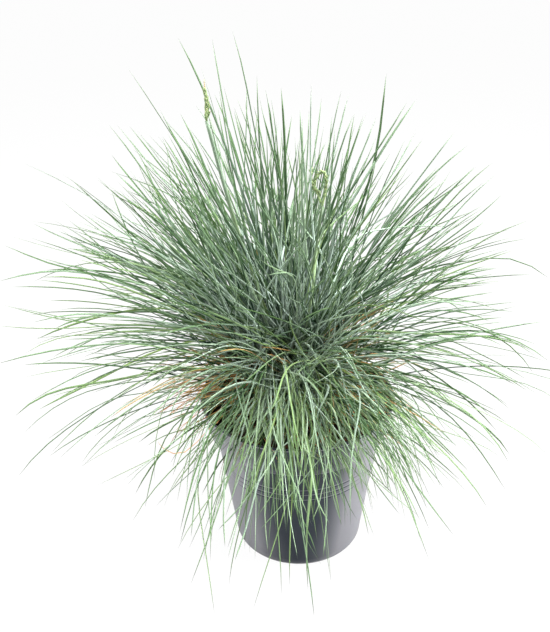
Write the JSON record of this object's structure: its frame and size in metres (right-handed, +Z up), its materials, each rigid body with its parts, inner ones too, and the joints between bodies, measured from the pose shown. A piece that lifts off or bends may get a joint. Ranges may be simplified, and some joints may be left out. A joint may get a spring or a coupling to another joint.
{
  "type": "potted blue fescue grass clump",
  "caption": "Round tussock of fine blue-green grass leaves with a narrow flower stem, growing in a tapered dark plastic pot with a stepped collar.",
  "frame": {"origin": "centre of the pot's flat base, on the surface it stands on", "axes": "+Z up along the pot's axis; the picture's camera looks along +Y, with +X to its right"},
  "size_m": [0.4921, 0.4873, 0.4424],
  "materials": {
    "pot_plastic": "satin",
    "potting_soil": "loose fibrous peat mix",
    "crown_sheaths": "packed leaf sheaths",
    "blue_leaves": "waxy bloom on fine rolled leaves",
    "dry_leaves": "dry and papery",
    "flower_stem": "green, slightly rough"
  },
  "bodies": {
    "root": {"crown": "crown_sheaths", "dry_leaves_1": "dry_leaves", "dry_leaves_2": "dry_leaves", "dry_leaves_3": "dry_leaves", "flower_stem": "flower_stem", "flower_stem_bent": "flower_stem", "leaf_tuft_01": "blue_leaves", "leaf_tuft_02": "blue_leaves", "leaf_tuft_03": "blue_leaves", "leaf_tuft_04": "blue_leaves", "leaf_tuft_05": "blue_leaves", "leaf_tuft_06": "blue_leaves", "leaf_tuft_07": "blue_leaves", "leaf_tuft_08": "blue_leaves", "leaf_tuft_09": "blue_leaves", "leaf_tuft_10": "blue_leaves", "leaf_tuft_11": "blue_leaves", "leaf_tuft_12": "blue_leaves", "leaf_tuft_13": "blue_leaves", "leaf_tuft_14": "blue_leaves", "leaf_tuft_15": "blue_leaves", "leaf_tuft_16": "blue_leaves", "leaf_tuft_17": "blue_leaves", "leaf_tuft_18": "blue_leaves", "leaf_tuft_19": "blue_leaves", "leaf_tuft_20": "blue_leaves", "leaf_tuft_21": "blue_leaves", "leaf_tuft_22": "blue_leaves", "leaf_tuft_23": "blue_leaves", "leaf_tuft_24": "blue_leaves", "leaf_tuft_25": "blue_leaves", "leaf_tuft_26": "blue_leaves", "leaf_tuft_27": "blue_leaves", "leaf_tuft_28": "blue_leaves", "leaf_tuft_29": "blue_leaves", "leaf_tuft_30": "blue_leaves", "leaf_tuft_31": "blue_leaves", "leaf_tuft_32": "blue_leaves", "leaf_tuft_33": "blue_leaves", "leaf_tuft_34": "blue_leaves", "leaf_tuft_35": "blue_leaves", "leaf_tuft_36": "blue_leaves", "leaf_tuft_37": "blue_leaves", "leaf_tuft_38": "blue_leaves", "leaf_tuft_39": "blue_leaves", "leaf_tuft_40": "blue_leaves", "leaf_tuft_41": "blue_leaves", "leaf_tuft_42": "blue_leaves", "leaf_tuft_43": "blue_leaves", "leaf_tuft_44": "blue_leaves", "leaf_tuft_45": "blue_leaves", "leaf_tuft_46": "blue_leaves", "leaf_tuft_47": "blue_leaves", "leaf_tuft_48": "blue_leaves", "leaf_tuft_49": "blue_leaves", "leaf_tuft_50": "blue_leaves", "leaf_tuft_51": "blue_leaves", "leaf_tuft_52": "blue_leaves", "pot": "pot_plastic", "potting_soil": "potting_soil"}
  },
  "joints": []
}
